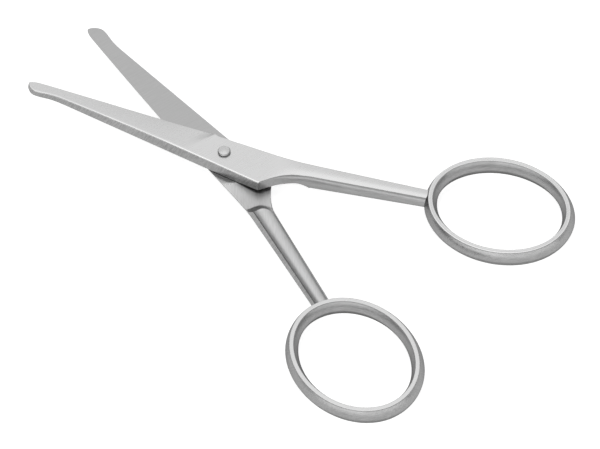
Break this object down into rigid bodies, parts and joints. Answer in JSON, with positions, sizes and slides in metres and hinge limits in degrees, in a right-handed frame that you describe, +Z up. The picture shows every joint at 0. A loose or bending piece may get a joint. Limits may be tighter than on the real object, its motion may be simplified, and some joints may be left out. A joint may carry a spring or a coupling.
{
  "type": "nose hair scissors",
  "caption": "Small steel grooming scissors with bulb shaped safety tips, slim shanks and oval finger rings, turning on a rivet.",
  "frame": {"origin": "middle of the bounding box in plan, at its underside, with the scissors lying half open on a table", "axes": "+X from the blade tips towards the finger rings, +Z up along the pivot axis, out of the front half's outer face"},
  "size_m": [0.0952, 0.0604, 0.0047],
  "materials": {
    "blade_steel": "satin brushed",
    "ring_steel": "satin brushed",
    "rivet_steel": "turned, satin"
  },
  "bodies": {
    "rear_half": {"rear_blade": "blade_steel", "rear_ring": "ring_steel", "pivot_rivet": "rivet_steel"},
    "front_half": {"front_blade": "blade_steel", "front_ring": "ring_steel"}
  },
  "joints": [
    {"name": "blade_pivot", "type": "hinge", "parent": "rear_half", "child": "front_half", "pos_m": [-0.00948, 0, 0.00226], "axis": [0, 0, 1], "range_deg": [-21.5, 76]}
  ]
}
